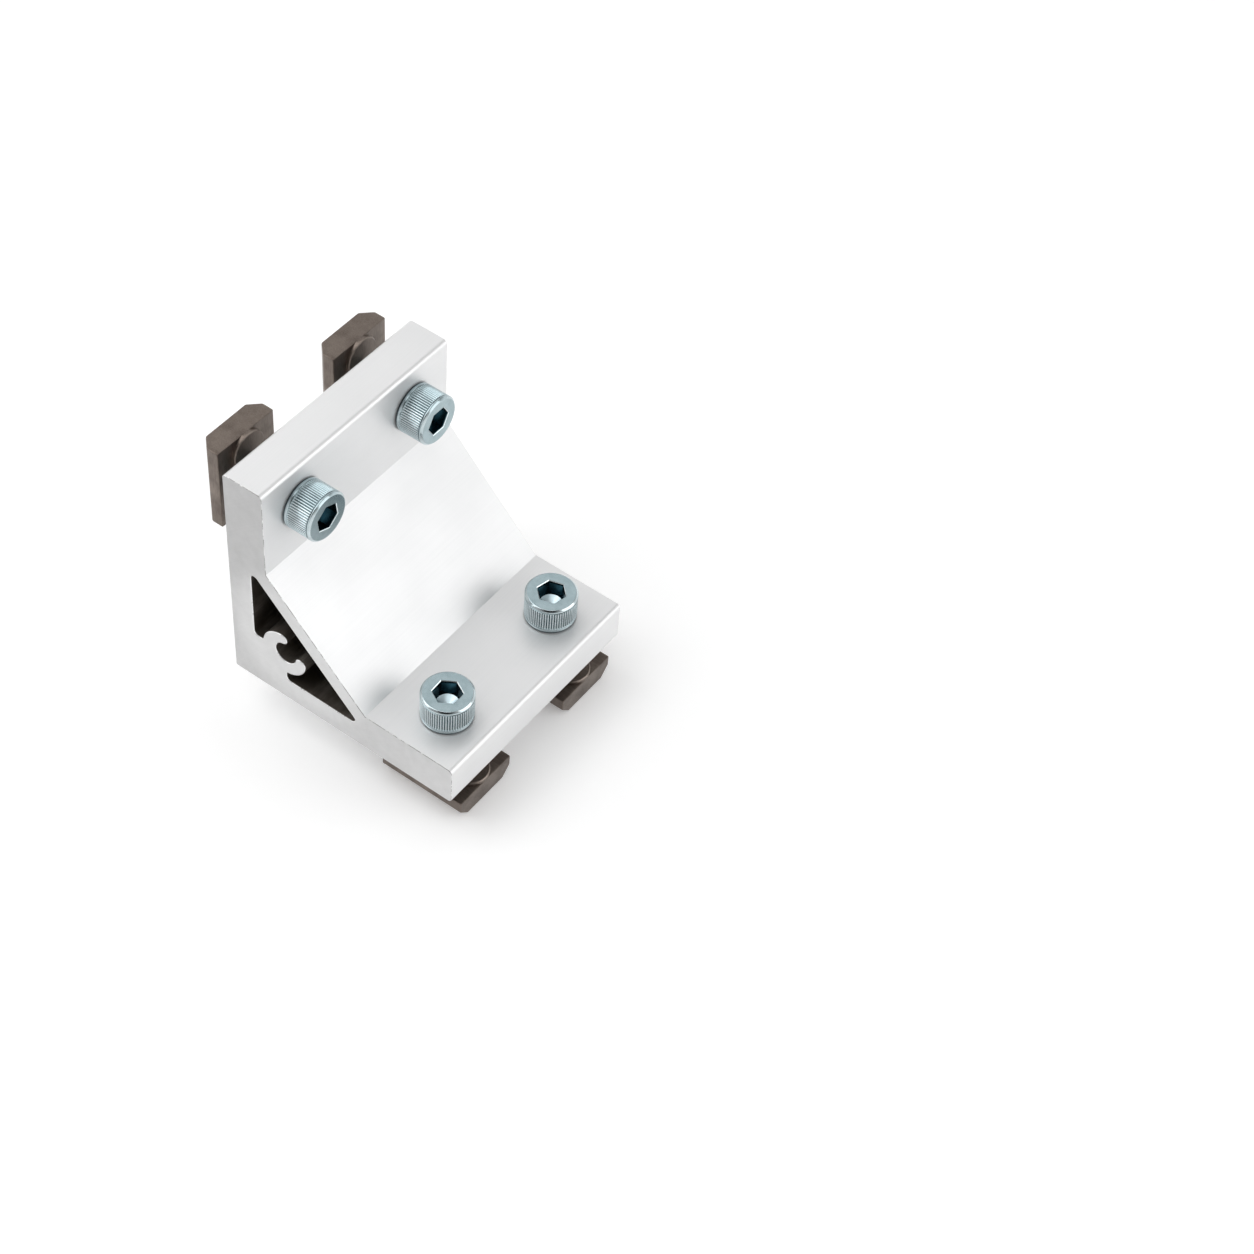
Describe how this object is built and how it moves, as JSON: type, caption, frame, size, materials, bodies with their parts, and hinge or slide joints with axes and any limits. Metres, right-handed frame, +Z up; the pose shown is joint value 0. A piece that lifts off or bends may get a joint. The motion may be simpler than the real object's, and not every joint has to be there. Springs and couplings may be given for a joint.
{
  "type": "corner bracket",
  "caption": "Extruded aluminium corner bracket with a sloping hollow web, bolted through both legs into the slots of framing profiles.",
  "frame": {"origin": "on the outer corner line, where the two mounting faces meet, at the middle of the width", "axes": "+X along the foot leg away from the corner, +Z up along the upright leg, Y along the extrusion; the picture's near end is at -Y"},
  "size_m": [0.0772, 0.066, 0.0772],
  "materials": {
    "anodised_aluminium": "satin, natural anodised",
    "zinc_plated_steel": "bright zinc plated",
    "plain_steel": "dull, lightly oiled"
  },
  "bodies": {
    "root": {"bracket_extrusion": "anodised_aluminium", "screw_foot_near": "zinc_plated_steel", "screw_foot_far": "zinc_plated_steel", "screw_upright_near": "zinc_plated_steel", "screw_upright_far": "zinc_plated_steel", "slot_nut_foot_near": "plain_steel", "slot_nut_foot_far": "plain_steel", "slot_nut_upright_near": "plain_steel", "slot_nut_upright_far": "plain_steel"}
  },
  "joints": []
}
